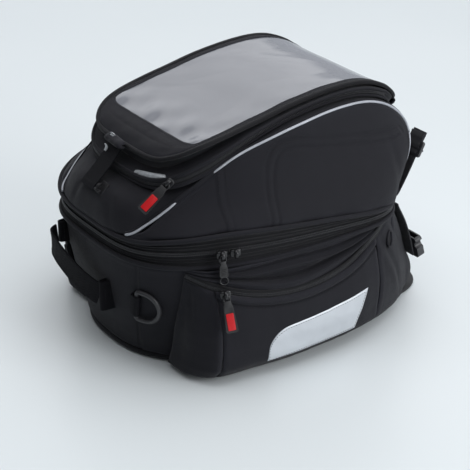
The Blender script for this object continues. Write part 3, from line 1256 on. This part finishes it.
for number, (middle, wide, tall) in enumerate(PEEPS):
    rows = []
    for t in np.linspace(-1, 1, 9):
        rows.append([(middle[0] - 1.8 * t * t + 0.5 * t, middle[1] + s * wide / 2 * (1 - 0.25 * t * t),
                      middle[2] + t * tall / 2 * (0.4 + 0.6 * number) + 0.7 * (1 - s * s))
                     for s in np.linspace(-1, 1, 9)])
    peep = cloth(f"clear_stiffener_edge_{number}", np.array(rows), outward=(-1, 0, 0.6), thick=0.8)
    fit(peep, [clear_stiffener, clear_stiffener], "map_flap", "clear_window")

# --- Moulded fittings: D-rings, hook, ladder locks and buckles ------------------------------------
# Black acetal mouldings with softened edges. A D-ring turns in a short webbing loop in each front seam, the
# hook sits on the lid's slope, and each strap at the tall end carries a ladder lock or half a buckle.


def edges(tree, dull, sharp):
    """1 on a piece's sharp outer edges and 0 away from them."""
    shape = node(tree, "ShaderNodeNewGeometry")
    return node(tree, "ShaderNodeMapRange", _0=shape.outputs["Pointiness"], _1=dull, _2=sharp).outputs[0]


def moulded(name, colour, rough, gloss=0.5):
    """Moulded plastic: a fine spark-eroded grain, flow marks and rubbed edges."""
    material, tree, shader = finish(name, rough, specular=gloss)
    flow = noise(tree, 70.0, 4.0, Distortion=1.0)
    rubbed = math_of(tree, "MULTIPLY", edges(tree, 0.52, 0.60), 0.5)
    tone = between(tree, flow, colour, [c * 1.6 + 0.002 for c in colour])
    tone = between(tree, rubbed, tone, [c * 3 + 0.02 for c in colour])
    surface(tree, shader, tone, noise(tree, 2200.0, 2.0), 0.18, 0.0001, (flow, rough - 0.08, rough + 0.1))
    return material


black_plastic = moulded("black_acetal", (0.012, 0.012, 0.014), 0.40)


def stand(origin, along, out):
    """Where a fitting goes that is shaped with its length down -Z and its face towards -Y."""
    z_axis = -Vector(along).normalized()
    y_axis = -Vector(out)
    y_axis = (y_axis - z_axis * y_axis.dot(z_axis)).normalized()
    turn = Matrix((y_axis.cross(z_axis), y_axis, z_axis)).transposed().to_4x4()
    return Matrix.Translation(Vector(origin) * MM) @ turn @ Matrix.Scale(MM, 4)


def set_down(piece, name, place, y, angle, material, body, slot, *nodes):
    """Fits a shape modelled in millimetres in its place, or in the mirrored place for the left side."""
    piece.name = piece.data.name = name
    piece.data.transform(place)
    if y > 0:
        piece.data.transform(Matrix.Scale(-1, 4, (0, 1, 0)))
        piece.data.flip_normals()
    piece.data.update()
    alone(piece)
    bpy.ops.object.shade_smooth_by_angle(angle=math.radians(angle))
    piece.select_set(False)
    fit(piece, [material], body, slot, *nodes)


def block(size, at=(0, 0, 0)):
    """A block to start a fitting from, in millimetres, alone in the selection."""
    bpy.ops.object.select_all(action="DESELECT")
    bpy.ops.mesh.primitive_cube_add(size=1, location=at, scale=size)
    piece = bpy.context.object
    bpy.ops.object.transform_apply(location=True, rotation=True, scale=True)
    return piece


def choose(piece, kind, test):
    """Selects a piece's faces, edges or points by their middle and normal, and goes into edit mode."""
    alone(piece)
    bpy.ops.object.mode_set(mode="EDIT")
    bpy.ops.mesh.select_mode(type=kind)
    bpy.ops.mesh.select_all(action="DESELECT")
    held = bmesh.from_edit_mesh(piece.data)
    if kind == "FACE":
        for face in held.faces:
            face.select = bool(test(face.calc_center_median(), face.normal))
    elif kind == "EDGE":
        for edge in held.edges:
            a, b = edge.verts
            edge.select = bool(test((a.co + b.co) / 2, (b.co - a.co).normalized()))
    else:
        for vertex in held.verts:
            vertex.select = bool(test(vertex.co, vertex.normal))
    held.select_flush_mode()
    bmesh.update_edit_mesh(piece.data)


def round_over(piece, offset, segments, test):
    """Rounds over the chosen edges of a shape."""
    choose(piece, "EDGE", test)
    bpy.ops.mesh.bevel(offset=offset, segments=segments)
    done()


def set_in(piece, thickness, sink, test):
    """Insets the chosen faces of a shape and moves them along Y."""
    choose(piece, "FACE", test)
    bpy.ops.mesh.inset(thickness=thickness)
    bpy.ops.transform.translate(value=(0, sink, 0))
    done()


def upright(middle, run):
    """Whether an edge runs through the thickness of a fitting."""
    return abs(run.y) > 0.9


def cut(piece, *cutters):
    """Takes shapes out of a shape, one after another."""
    for cutter in cutters:
        press(piece, "BOOLEAN", object=cutter, operation="DIFFERENCE")
        bpy.data.objects.remove(cutter)


def ribs(size, width, places):
    """A row of small blocks with rounded edges, all of one size."""
    made = [block(size, place) for place in places]
    for rib in made:
        press(rib, "BEVEL", width=width, segments=2)
    return made


def bar(points, radius, flat=1.0, closed=True, count=12):
    """Bent round bar through points in millimetres, with its own shape still to be put in place."""
    points = np.asarray(points, float)
    run = runs(points, closed)
    face = np.broadcast_to([0.0, -1, 0], points.shape)
    side = np.cross(run, face)
    turns = np.linspace(0, 2 * math.pi, count + 1)
    grid = np.array([points + side * radius * math.cos(t) + face * radius * flat * math.sin(t)
                     for t in turns])
    piece = cloth("bar", grid, thick=0, closed=True)
    close_up(piece, not closed)
    piece.data.transform(Matrix.Scale(1 / MM, 4))
    return piece


def joined(*pieces):
    """Several shapes as one piece."""
    alone(pieces[0])
    for piece in pieces[1:]:
        piece.select_set(True)
    bpy.ops.object.join()
    return bpy.context.object


def pair_node(node_name, y):
    """The right-hand piece of a pair stands for the part that covers both sides."""
    return [node_name] if y < 0 else []


RING_FOOT, RING_DOWN, RING_OUT = (-171.2, -71.6, 90.4), (0.08, 0.22, -1), (-0.85, -0.53, 0)
arc = [(8 + 18 * math.sin(t), 0, -18 + 18 * math.cos(t)) for t in np.linspace(0, math.pi, 26)]
bends = [(3 - 3 * math.sin(t), 0, -3 + 3 * math.cos(t)) for t in np.linspace(0, math.pi / 2, 6)]
bends_low = [(3 - 3 * math.cos(t), 0, -33 - 3 * math.sin(t)) for t in np.linspace(0, math.pi / 2, 6)]
ring_line = even([*arc, *bends_low[::-1], *bends[::-1], arc[0]], 96)
for side_name, y in SIDES:
    d_ring = bar(ring_line, 2.55, 0.92)
    place = stand(RING_FOOT, RING_DOWN, RING_OUT)
    set_down(d_ring, "d_ring_bar_" + side_name, place, y, 60, black_plastic, "ring_" + side_name, "hardware",
             "d_ring_" + side_name)
    loop = [(3.4 * math.sin(t), -3.4 * math.cos(t), 0) for t in np.linspace(math.pi + 0.35, -0.35, 16)]
    loop = [(-6.5, 1.6, 0), *loop, (-6.5, -0.4, 0)]
    mid = Vector((0, 0, -18))
    world_line = [np.array(place @ (Vector(p) + mid)) / MM * [1, -y, 1] for p in loop]
    across = np.array(place.to_3x3() @ Vector((0, 0, 1))) * [1, -y, 1]
    belt("d_ring_loop_" + side_name, world_line, 26, across, *pair_node("d_ring_tabs", y), thick=1.5)

hook_at = stand((-169.0, -10.5, 185), (-1, 0, -1), (-1, 0, 1))
plate_shape = block((11, 2.2, 14), (0, 0.2, -3))
press(plate_shape, "BEVEL", width=1.0, segments=3)
neck = bar(curve([(0, 0.5, 1), (0, -3.2, 0.6), (0, -6.0, -1.5), (0, -6.6, -5.0), (0, -4.6, -7.6)], 24), 1.7,
           closed=False)
cross_bar = bar(curve([(-4.5, -4.4, -7.6), (0, -5.0, -7.9), (4.5, -4.4, -7.6)], 16), 1.5, closed=False)
hook = joined(plate_shape, neck, cross_bar)
set_down(hook, "closing_hook_moulding", hook_at, -1, 40,
         moulded("hook_acetal", (0.005, 0.005, 0.006), 0.55, 0.2), "lid", "hardware", "closing_hook")

STRAP_Y, STRAP_WIDTH = 105, 20
UPPER_STRAP = ((132.6, 133), (135.6, 136.5), (148.6, 158), (160.6, 181), (167.6, 196))
LOWER_STRAP = ((134.6, 122), (135.6, 119), (146.6, 98), (155.6, 74), (161.6, 52))
STRAP_TAIL = ((166.5, 176), (163, 183), (166, 189), (169, 194), (170.5, 197))
for side_name, y in SIDES:
    lock = block((28, 3.4, 18), (0, -1.8, -9))
    for top in (-5.75, -12.75):
        cut(lock, block((21.2, 20, 4.5), (0, 0, top)))
    round_over(lock, 3.0, 5, lambda middle, run: upright(middle, run) and abs(middle.x) > 12)
    press(lock, "BEVEL", width=0.55, segments=2, limit_method="ANGLE")
    grips = ribs((19, 1.0, 0.8), 0.3, [(0, -3.9, z) for z in (-1.4, -2.6, -16.2, -17.2)])
    lock = joined(lock, *grips)
    set_down(lock, "ladder_lock_" + side_name, stand((163.5, -STRAP_Y, 189), (-12, 0, -23), (1, 0, -0.5)), y,
             40, black_plastic, "lid", "hardware", *pair_node("ladder_locks", y))

    buckle = block((29, 9, 26), (0, -4.5, -13))
    round_over(buckle, 3.8, 5, upright)
    cut(buckle, block((22, 5.6, 19), (0, -4.5, -9.0)))
    for x in (-15.5, 15.5):
        bpy.ops.mesh.primitive_cylinder_add(vertices=24, radius=4.4, depth=20, location=(x, -4.5, -8.5),
                                            rotation=(math.pi / 2, 0, 0))
        cut(buckle, bpy.context.object)
    cut(buckle, block((20, 20, 2.6), (0, 0, -23.2)))
    press(buckle, "BEVEL", width=0.6, segments=2, limit_method="ANGLE")
    grips = ribs((14, 1.0, 1.0), 0.35, [(0, -9.0, z) for z in (-12.5, -14.5, -16.5, -18.5)])
    buckle = joined(buckle, *grips)
    set_down(buckle, "strap_buckle_" + side_name, stand((158.4, -STRAP_Y, 74), (6, 0, -22), (1, 0, 0.35)), y,
             40, black_plastic, "tub", "hardware", *pair_node("strap_buckles", y))
    for name, body, node_names, line in (("lid_strap_", "lid", pair_node("lid_straps", y), UPPER_STRAP),
                                         ("tub_strap_", "tub", pair_node("tub_straps", y), LOWER_STRAP),
                                         ("lid_strap_tail_", "lid", [], STRAP_TAIL)):
        belt(name + side_name, [(x, STRAP_Y * y, z) for x, z in line], STRAP_WIDTH, (0, 1, 0), *node_names,
             body=body, material=strap_webbing)

# --- Carry handle ---------------------------------------------------------------------------------
# A loop of 27 mm webbing across the nose, folded double and stitched along both edges. Its ends are boxed
# and sewn to the front wall.

HANDLE_LINE = ((-185.6, -20.6, 70), (-190, -12, 73.5), (-195.5, 8, 82), (-198.6, 32, 92.5),
               (-198.3, 50, 100.5), (-195.4, 57.6, 103.8), (-190.8, 60.2, 105.2), (-187.6, 60.8, 105.6))
handle = belt("carry_handle_webbing", HANDLE_LINE, 26, (0, 0, 1), "carry_handle", thick=2.3, body="handle")
handle_rows = [[np.array(p) + [-1.4, 0, edge] for p in HANDLE_LINE[:-1]] for edge in (-10.5, 10.5)]
sew("carry_handle_stitches", handle, "handle", handle_rows, pitch=3.6)
# Each anchor: its middle, the width of its webbing, the faces that are stitched, the node it stands for
ANCHORS = ((-185, -25.2, 70, 34, (1,), ["handle_anchors"]), (-180, 66.2, 106, 24, (-1, 1), []))
for number, (x, y, z, wide, faces, node_names) in enumerate(ANCHORS):
    fold = [(x + reach, y + off, z) for reach, off in ((14, -3.4), (5, -3.2), (-1.5, -2.2), (-2.4, 0),
                                                       (-1.5, 2.2), (5, 3.2), (14, 3.4))]
    anchor = belt(f"handle_anchor_{number}", fold, wide, (0, 0, 1), *node_names, thick=1.9)
    sew(f"handle_anchor_stitches_{number}", anchor, "tub",
        [[(x + reach, y - face * 4.5, z + end) for end in (-9, 9)] for face in faces for reach in (1.5, 7.5)])

# --- Zip sliders and pullers ----------------------------------------------------------------------
# Cast zinc sliders, painted black, with a shield-shaped body and a bridge. A wire eye hangs in each
# puller's slider, and a rubber tab with a red label let into it hangs from that.


def zinc_finish():
    """Black-painted zinc, glossy, bright where the paint has worn off its edges."""
    material, tree, shader = finish("painted_zinc", 0.22, coat=0.1, specular=0.4)
    chips = noise(tree, 500.0, 5.0, Roughness=0.7)
    bare = math_of(tree, "MULTIPLY", math_of(tree, "MULTIPLY", edges(tree, 0.5, 0.62), chips), 0.14)
    tone = between(tree, bare, (0.003, 0.003, 0.004), (0.30, 0.30, 0.32))
    surface(tree, shader, tone, chips, 0.15, 0.0001, (chips, 0.14, 0.34))
    return material


painted_zinc = zinc_finish()
tab_rubber = rubber("tab_rubber", (0.008, 0.008, 0.009), rough=0.55)


def label_finish():
    """Red woven label under a thin clear skin, its weave just showing."""
    material, tree, shader = finish("red_label", 0.38, coat=0.12, specular=0.3)
    place = node(tree, "ShaderNodeTexCoord").outputs[3]
    weft = node(tree, "ShaderNodeTexWave", {"bands_direction": "Z"}, Vector=place, Scale=420.0).outputs[1]
    tone = between(tree, noise(tree, 160.0, 4.0), (0.42, 0.006, 0.010), (0.58, 0.014, 0.018))
    surface(tree, shader, tone, weft, 0.25, 0.0001)
    return material


red_label = label_finish()


def slider(name, place, across, body, *nodes, y=-1):
    """One slider: a waisted shield with side flanges and an arched bridge."""
    shield = block((8, 3.0, 11), (0, -1.7, 0))
    round_over(shield, 2.4, 4, upright)
    set_in(shield, 1.0, -0.5, lambda middle, normal: normal.y < -0.9)
    press(shield, "BEVEL", width=0.35, segments=2, limit_method="ANGLE")
    arch = curve([(0, -2.6, 4.0), (0, -5.4, 3.9), (0, -7.4, 2.4), (0, -7.9, 0), (0, -7.4, -2.4),
                  (0, -5.4, -3.9), (0, -2.6, -4.0)], 26)
    if across:
        arch = arch[:, [2, 1, 0]]
    wide = np.broadcast_to([0.0, 0, 1] if across else [1.0, 0, 0], arch.shape)
    thin = np.cross(runs(arch), wide)
    turns = np.linspace(0, 2 * math.pi, 9)
    strap = np.array([arch + wide * 1.45 * math.cos(t) + thin * 0.65 * math.sin(t) for t in turns])
    bridge = cloth("bridge", strap, thick=0, closed=True)
    bridge.data.transform(Matrix.Scale(1 / MM, 4))
    choose(bridge, "FACE", lambda middle, normal: True)
    done()
    set_down(joined(shield, bridge), name, place, y, 50, painted_zinc, body, "slider_metal", *nodes)


def puller(name, place, width, length, labelled, body, *nodes, y=-1):
    """A wire eye, and the tab moulded on it: tapered to its eye, rounded at its foot, its label let in."""
    turns = np.linspace(0.5 * math.pi, 2.5 * math.pi, 41)
    wires = [bar([(3.2 * math.cos(t), 0, -3.9 + 3.9 * math.sin(t)) for t in turns], 0.85, count=10)]
    low = -6.2 - length
    tab = block((width, 3.0, length), (0, 0, -6.2 - length / 2))
    round_over(tab, 2.6, 5, lambda middle, run: upright(middle, run) and middle.z < low + 1)
    choose(tab, "VERT", lambda place, normal: place.z > -6.3)
    bpy.ops.transform.resize(value=(0.56, 0.9, 1), center_override=(0, 0, -6.2))
    bpy.ops.transform.translate(value=(0, 0, 1.0))
    done()
    for knife in (-8.4, -11.5):
        choose(tab, "FACE", lambda place, normal: True)
        bpy.ops.mesh.bisect(plane_co=(0, 0, knife), plane_no=(0, 0, 1))
        done()
    choose(tab, "VERT", lambda place, normal: abs(place.z + 11.5) < 0.2)
    bpy.ops.transform.resize(value=(1.16, 1, 1), center_override=(0, 0, -11.5))
    done()
    choose(tab, "FACE", lambda place, normal: abs(normal.y) > 0.9 and place.z < -11.6)
    bpy.ops.mesh.inset(thickness=1.5)
    bpy.ops.transform.resize(value=(1, 0.74, 1), center_override=(0, 0, low / 2))
    done()
    press(tab, "BEVEL", width=0.4, segments=2, limit_method="ANGLE")
    grips = []
    if not labelled:
        # This one ends in a wire ring, and its tab is ribbed across
        circle = [(4.0 * math.sin(t), 0, low - 3.4 + 4.0 * math.cos(t))
                  for t in np.linspace(0, 2 * math.pi, 41)]
        wires.append(bar(circle, 0.8, count=10))
        grips = ribs((5.8, 3.5, 0.9), 0.25, [(0, 0, low + 2.6 + 1.8 * k) for k in range(5)])
    set_down(joined(*wires), name + "_wire", place, y, 45, painted_zinc, body, "slider_metal")
    set_down(joined(tab, *grips), name, place, y, 45, tab_rubber, body, "pull_rubber", *nodes)
    if labelled:
        for number, face in enumerate((-1, 1)):
            label = block((7.8, 0.9, 17.5), (0, face * 1.25, low + 11.4))
            round_over(label, 0.9, 3, upright)
            set_in(label, 0.5, face * 0.15, lambda middle, normal: normal.y * face > 0.9)
            set_down(label, f"{name}_label_{number}", place, y, 30, red_label, body, "pull_label")


SLIDER_CENTRE, SLIDER_RADIUS, EYE_OUT = Vector((-2, 193, 142)), 345.0, 4.9
MEETING = math.asin((-104 - SLIDER_CENTRE.x) / SLIDER_RADIUS)
for name, step in (("front", -7.0), ("rear", 7.0)):
    turn = MEETING + step / SLIDER_RADIUS
    out = Vector((math.sin(turn), -math.cos(turn), 0))
    at = SLIDER_CENTRE + out * SLIDER_RADIUS
    slider(name + "_slider_casting", stand(at, (out.y, -out.x, 0), out), True, name + "_slider",
           name + "_zip_slider")
    if step < 0:
        puller("band_puller", stand(at + out * EYE_OUT, out * 0.2 - Vector((0, 0, 1)), out), 9, 16, False,
               "zip_pull", "zip_puller")

start = math.radians(-25.5)
pocket_out = Vector((-0.35, -0.93, 0))
# The slider's place on the zip's arc: across and down in the arc's leaning plane, from its centre
pocket_at = Vector((0.9987, -0.0508, 0)) * math.sin(start)
pocket_at += Vector((-0.0305, -0.5984, -0.8)) * math.cos(start)
pocket_at = Vector((-22.8, -40.7, POCKET_ZIP[1])) + POCKET_ZIP[2] * pocket_at
pocket_at += pocket_out * 4.6
pocket_drop = Vector((0, -0.30, -1))
TAB_WIDTH, TAB_LENGTH = 12.5, 32
for side_name, y in SIDES:
    slider("pocket_slider_casting_" + side_name, stand(pocket_at, pocket_drop.cross(pocket_out), pocket_out),
           True, "pocket_slide_" + side_name, "pocket_slider_" + side_name, y=y)
    puller("pocket_pull_tab_" + side_name, stand(pocket_at + pocket_out * EYE_OUT, pocket_drop, pocket_out),
           TAB_WIDTH, TAB_LENGTH, True, "pocket_pull_" + side_name, "pocket_puller_" + side_name, y=y)

TOP_SLIDER, TOP_OUT = Vector((-135.5, -80.5, 204)), Vector((-0.62, -0.55, 0.56))
TOP_DROP = Vector((-30, 6, -27))
slider("organiser_slider_casting", stand(TOP_SLIDER, TOP_DROP, TOP_OUT), False, "organiser_slide",
       "organiser_slider")
top_face = (TOP_OUT - TOP_DROP * (TOP_OUT.dot(TOP_DROP) / TOP_DROP.dot(TOP_DROP))).normalized()
puller("organiser_pull_tab", stand(TOP_SLIDER + top_face * EYE_OUT, TOP_DROP, TOP_OUT), TAB_WIDTH,
       TAB_LENGTH, True, "organiser_pull", "organiser_puller")

# --- Floor, light and camera ----------------------------------------------------------------------
# A plain pale floor, a pale studio round it, wide soft lamps above, behind and on the right, a faint one
# on the left, and a long lens.


def stage_finish():
    """A pale floor that keeps the bag's shadow and shines faintly."""
    material, tree, shader = finish("pale_floor", 0.32, specular=0.25)
    tree.links.new(between(tree, noise(tree, 1.6, 2.0), (0.66, 0.71, 0.73), (0.72, 0.76, 0.78)),
                   shader.inputs["Base Color"])
    return material


bpy.ops.mesh.primitive_plane_add(size=12, location=(0, 0, 0))
floor = bpy.context.object
floor.name = "floor"
bpy.ops.object.transform_apply(location=True)
wear(floor, stage_finish())

world = bpy.data.worlds.new("studio")
bpy.context.scene.world = world
world.use_nodes = True
sky = world.node_tree
paths = node(sky, "ShaderNodeLightPath")
surround = sky.nodes["Background"]
surround.inputs[0].default_value = (0.82, 0.84, 0.87, 1)
# The studio is a little darker on the bag's nose side
look = node(sky, "ShaderNodeTexCoord")
ahead = node(sky, "ShaderNodeSeparateXYZ", Vector=look.outputs[0]).outputs[0]
level = node(sky, "ShaderNodeMapRange", _0=ahead, _1=-0.9, _2=0.5, _3=0.04, _4=1.0).outputs[0]
sky.links.new(level, surround.inputs[1])
backdrop = node(sky, "ShaderNodeBackground", Color=(0.50, 0.53, 0.58, 1), Strength=1.0)
mirrored = node(sky, "ShaderNodeBackground", Color=(0.50, 0.53, 0.58, 1))
glow = node(sky, "ShaderNodeMapRange", _0=ahead, _1=-0.7, _2=0.0, _3=0.15, _4=1.0).outputs[0]
sky.links.new(glow, mirrored.inputs[1])
seen = math_of(sky, "MAXIMUM", paths.outputs["Is Camera Ray"], paths.outputs["Is Transmission Ray"])
either = node(sky, "ShaderNodeMixShader", _0=paths.outputs["Is Glossy Ray"], _1=surround.outputs[0],
              _2=mirrored.outputs[0])
either = node(sky, "ShaderNodeMixShader", _0=seen, _1=either.outputs[0], _2=backdrop.outputs[0])
sky.links.new(either.outputs[0], sky.nodes["World Output"].inputs[0])

for name, spot, aim, size, power in (
        ("softbox_above", (0.0, 0.0, 2.4), (0, 0, 0.1), (2.8, 2.8), 33),
        ("softbox_behind", (0.9, 1.6, 1.35), (0, 0, 0.2), (2.2, 1.2), 8),
        ("softbox_left", (-2.0, 0.0, 1.0), (0, 0, 0.12), (1.2, 1.4), 0.3),
        ("softbox_right", (0.9, -2.0, 0.9), (0.05, 0, 0.12), (1.4, 1.2), 27)):
    light = bpy.data.lights.new(name, "AREA")
    light.shape, light.size, light.size_y, light.energy = "RECTANGLE", size[0], size[1], power
    lamp = bpy.data.objects.new(name, light)
    lamp.location = spot
    lamp.rotation_euler = (Vector(aim) - Vector(spot)).to_track_quat("-Z", "Y").to_euler()
    bpy.context.collection.objects.link(lamp)

lens = bpy.data.cameras.new("camera")
lens.lens, lens.sensor_width = 122.55, 36.0
lens.clip_start, lens.clip_end = 0.05, 30
camera = bpy.data.objects.new("camera", lens)
forward = Vector((0.5133, 0.7331, -0.4462))
camera.location = (-0.906, -1.294, 0.864)
camera.rotation_euler = forward.to_track_quat("-Z", "Y").to_euler()
bpy.context.collection.objects.link(camera)
bpy.context.scene.camera = camera
bpy.context.scene.view_settings.view_transform = "Standard"
